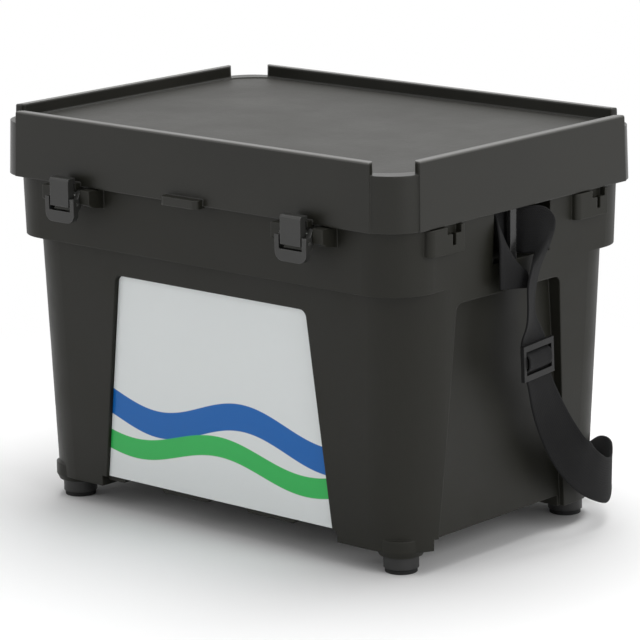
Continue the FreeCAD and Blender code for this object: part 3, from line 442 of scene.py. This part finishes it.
# Steel: the feet's screws and the pins of lid and latches, turned from steel and zinc plated. The
# plating has a slight mottled haze.
def plated_steel(name, colour):
    """Zinc plated steel with a mottled haze."""
    made, tree = new_material(name)
    where = tree.nodes.new("ShaderNodeTexCoord").outputs["Object"]
    haze = node(tree, "ShaderNodeTexNoise", Vector=where, Scale=260.0, Detail=6.0)
    edges = placed_group(tree, ROUNDED_EDGES, Radius=0.0005)
    metal = node(tree, "ShaderNodeBsdfPrincipled", Metallic=1.0)
    dull = tuple(0.7 * part for part in colour[:3]) + (1,)
    tree.links.new(mixed(tree, haze.outputs[0], dull, colour), metal.inputs["Base Color"])
    tree.links.new(ranged(tree, haze.outputs[0], 0.22, 0.42), metal.inputs["Roughness"])
    tree.links.new(edges.outputs["Normal"], metal.inputs["Normal"])
    surface_output(tree, metal)
    return made


zinc = plated_steel("zinc_steel", (0.62, 0.62, 0.6, 1))
finish_node("foot_screws", zinc)
for side in ("right", "left"):
    for pin in ("lever_pin", "claw_pin", "hinge_pin"):
        finish_node(f"{pin}_{side}", zinc)


# Latches: a lever frame and a hooked claw at each end of the front, moulded in black plastic that is
# smoother and a little shinier than the tub. Lever and claw turn on their own pins.
# The pale edge colour is a painted highlight along the latches' rounded edges.
latch_plastic = moulded_plastic("latch_plastic", (0.02, 0.02, 0.0185, 1), (0.13, 0.13, 0.125, 1),
                                radius=0.0009, depth=0.00004, rough=(0.3, 0.42))
for side in ("right", "left"):
    finish_node(f"latch_lever_{side}", latch_plastic)
    finish_node(f"latch_claw_{side}", latch_plastic)


# Strap bars: an upright bar of hard, shiny black plastic across each strap pocket, held in the tub at
# both ends. The webbing goes round it.
# The pale edge colour is a painted highlight along the bar's rounded edges.
bar_plastic = moulded_plastic("bar_plastic", (0.018, 0.018, 0.018, 1), (0.1, 0.1, 0.1, 1),
                              radius=0.0012, depth=0.00002, rough=(0.18, 0.26))
for side in ("right", "left"):
    finish_node(f"strap_bar_{side}", bar_plastic)


# Shoulder strap: one length of black webbing, 40 mm wide and woven in close ribs. It goes round the
# bar in each pocket, and its ends are cut hot and hang down in front.
STRAP_HALF = 20 * MM
STRAP_THICK = 1.7 * MM
RIB_PITCH, PICK_PITCH = 0.0021, 0.0016
STEPS = 8

# The strap's middle line on the right in millimetres, each point with the direction in which the webbing
# is wide there. The left side is the same, mirrored.
TAIL = [((236, -22, 230.5), (0, -40, 5)), ((235.5, -23, 246), (1, -38, 11)),
        ((233, -24.5, 259), (2, -31, 25)), ((227.5, -26, 271.5), (-1, -18, 36))]
ROUND_BAR = [((219.5, -25, 275), (0, -8, 39)), ((216.5, -12, 275.5), (0, 0, 1)),
             ((217.5, 0, 275.5), (0, 0, 1)), ((226, 5, 275.2), (0, 6, 39))]
FOLD = [((235, 12, 274.5), (1, 14, 38)), ((238.5, 14, 267), (3, 26, 29)),
        ((240.5, 8, 256), (-7, 36, 17)), ((239, 1, 240), (-13, 35, 12)),
        ((238.5, -2, 226), (-18, 35, 7)), ((239, -4, 213), (-20, 34, 0))]
HANG = [((240, -5, 200), (-18, 36, 0)), ((241, -4, 184), (-6, 39, 0)), ((241, -2, 166), (-5, 39, 0)),
        ((241, 6, 146), (-5, 39, 0)), ((241, 16, 124), (1, 40, 2)), ((243, 26, 104), (8, 38, 2)),
        ((246, 38, 84), (13, 36, 8)), ((248, 58, 62), (4, 24, 32)), ((247, 82, 47), (2, 8, 39)),
        ((240, 106, 40), (0, 4, 40)), ((224, 130, 46), (0, 0, 1)), ((203, 147, 44), (0, 0, 1))]
LIE = [((178, 157, 34), (0, 16, 36)), ((150, 161, 18), (0, 32, 24)), ((120, 161, 7), (0, 39, 8)),
       ((90, 160.5, 2.6), (0, 1, 0)), ((45, 160.5, 2.4), (0, 1, 0))]


def between(points, at, share):
    """A point on the smooth line through a row of points, after the one numbered at."""
    four = [points[min(max(at + i, 0), len(points) - 1)] for i in (-1, 0, 1, 2)]
    p, q, r, s = four
    return 0.5 * (2 * q + (r - p) * share + (2 * p - 5 * q + 4 * r - s) * share ** 2
                  + (3 * q - p - 3 * r + s) * share ** 3)


right = TAIL + ROUND_BAR + FOLD + HANG + LIE
left = [((-c[0], c[1], c[2]), (-w[0], w[1], w[2])) for c, w in reversed(right)]
route = right + [((0, 160.5, 2.4), (0, 1, 0))] + left
centres = [Vector(c) * MM for c, w in route]
widths = [Vector(w).normalized() for c, w in route]
samples = []
for at in range(len(route) - 1):
    for step in range(STEPS):
        samples.append((between(centres, at, step / STEPS), between(widths, at, step / STEPS).normalized()))
samples.append((centres[-1], widths[-1]))

# The section has a raised selvedge at each edge: (share of the half width, share of the half thickness).
SECTION = [(-1.0, 0.5), (-0.97, 1.0), (-0.88, 1.0), (-0.84, 0.8), (-0.4, 0.8), (0.0, 0.8), (0.4, 0.8),
           (0.84, 0.8), (0.88, 1.0), (0.97, 1.0), (1.0, 0.5)]
ring = SECTION + [(x, -y) for x, y in reversed(SECTION)]


def section_points(samples, at, half, thick):
    """The webbing's section at one sample, as points."""
    centre, wide = samples[at]
    ahead = samples[min(at + 1, len(samples) - 1)][0] - samples[max(at - 1, 0)][0]
    up = wide.cross(ahead).normalized()
    return [centre + wide * half * x + up * thick / 2 * y for x, y in ring]


def webbing_piece(name, samples, half, thick):
    """A length of webbing: its section drawn out from sample to sample, with the weave's own UV map."""
    shape = bmesh.new()
    verts = [shape.verts.new(point) for point in section_points(samples, 0, half, thick)]
    edges = [shape.edges.new((verts[i], verts[(i + 1) % len(verts)])) for i in range(len(verts))]
    uv = shape.loops.layers.uv.new("webbing")
    shape.faces.new(list(reversed(verts)))
    length = 0.0
    for at in range(1, len(samples)):
        start = length
        length += (samples[at][0] - samples[at - 1][0]).length
        grown = bmesh.ops.extrude_edge_only(shape, edges=edges)["geom"]
        faces = [f for f in grown if isinstance(f, bmesh.types.BMFace)]
        edges = [e for e in grown if isinstance(e, bmesh.types.BMEdge)
                 and not any(v in verts for v in e.verts)]
        mates = {}
        for face in faces:
            for edge in face.edges:
                ends = [v for v in edge.verts if v in verts]
                if len(ends) == 1:
                    mates[verts.index(ends[0])] = edge.other_vert(ends[0])
        fresh = [mates[i] for i in range(len(verts))]
        for vert, point in zip(fresh, section_points(samples, at, half, thick)):
            vert.co = point
        for face in faces:
            for loop in face.loops:
                is_old = loop.vert in verts
                i = verts.index(loop.vert) if is_old else fresh.index(loop.vert)
                loop[uv].uv = (ring[i][0] * half, start if is_old else length)
        verts = fresh
    shape.faces.new(verts)
    bmesh.ops.recalc_face_normals(shape, faces=shape.faces)
    for face in shape.faces:
        face.smooth = len(face.verts) == 4
    mesh = bpy.data.meshes.new(name)
    shape.to_mesh(mesh)
    shape.free()
    made = bpy.data.objects.new(name, mesh)
    bpy.context.collection.objects.link(made)
    made.data.materials.append(webbing)
    return made


def woven_webbing(name):
    """Black woven webbing with lengthwise ribs, cross threads and a little fluff."""
    made, tree = new_material(name)
    where = node(tree, "ShaderNodeUVMap", uv_map="webbing").outputs[0]
    parts = node(tree, "ShaderNodeSeparateXYZ")
    tree.links.new(where, parts.inputs[0])
    ribs = math_node(tree, "SINE", math_node(tree, "MULTIPLY", parts.outputs["X"], 2 * math.pi / RIB_PITCH))
    picks = math_node(tree, "SINE", math_node(tree, "MULTIPLY", parts.outputs["Y"], 2 * math.pi / PICK_PITCH))
    weave = math_node(tree, "MULTIPLY", ribs, picks)
    weave = ranged(tree, math_node(tree, "MULTIPLY_ADD", ribs, 0.5, weave), 0, 1, -1.5, 1.5)
    fluff = node(tree, "ShaderNodeTexNoise", Vector=where, Scale=700.0, Detail=3.0)
    height = math_node(tree, "MULTIPLY_ADD", fluff.outputs[0], 0.35, weave)
    bump = node(tree, "ShaderNodeBump", Distance=0.0004, Strength=0.7)
    tree.links.new(height, bump.inputs["Height"])
    broad = node(tree, "ShaderNodeTexNoise", Vector=where, Scale=60.0, Detail=3.0)
    tone = mixed(tree, weave, (0.003, 0.003, 0.0034, 1), (0.011, 0.011, 0.0115, 1))
    tone = mixed(tree, ranged(tree, broad.outputs[0], 0, 0.3), tone, (0.014, 0.014, 0.014, 1))
    cloth = node(tree, "ShaderNodeBsdfPrincipled", Roughness=0.85, Sheen_Weight=0.02, Sheen_Roughness=0.5)
    cloth.inputs["Specular IOR Level"].default_value = 0.15
    tree.links.new(tone, cloth.inputs["Base Color"])
    tree.links.new(bump.outputs[0], cloth.inputs["Normal"])
    surface_output(tree, cloth)
    return made


webbing = woven_webbing("webbing")
strap = webbing_piece("webbing_strap", samples, STRAP_HALF, STRAP_THICK)
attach(strap, "box")
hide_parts("shoulder_strap")


# Slider: a moulded black buckle with two slots, which rides on the webbing and sets the strap's length.
# The webbing goes round its middle bar.
# The slightly paler edge colour is a painted highlight along the slider's rounded edges.
slider_plastic = moulded_plastic("slider_plastic", (0.006, 0.006, 0.006, 1), (0.012, 0.012, 0.012, 1),
                                 radius=0.0007, rough=(0.35, 0.45), shine=0.2)
finish_node("strap_slider", slider_plastic)

# The webbing's inner layer comes out of one slot, goes over the slider's middle bar and back through the
# other: (up the slider, out from its middle plane), in millimetres.
SLIDER_AT = Vector((244.22, -1.76, 168)) * MM
SLIDER_WIDE = Vector((5.5, -39, 0)).normalized()
SLIDER_UP = Vector((-0.035, -0.005, 1)).normalized()
FOLD_HALF = 19 * MM
FOLD_THICK = 1.4 * MM
OVER_BAR = [(-8.6, -2.2), (-7.6, -0.9), (-6.6, 0.8), (-5.2, 2.2), (-3.0, 3.0), (0.0, 3.2), (3.0, 3.0),
            (5.2, 2.2), (6.6, 0.8), (7.6, -0.9), (8.6, -2.2)]
slider_out = SLIDER_UP.cross(SLIDER_WIDE).normalized()
samples = [(SLIDER_AT + SLIDER_UP * up * MM + slider_out * out * MM, SLIDER_WIDE) for up, out in OVER_BAR]
slider_fold = webbing_piece("slider_fold", samples, FOLD_HALF, FOLD_THICK)
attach(slider_fold, "box")
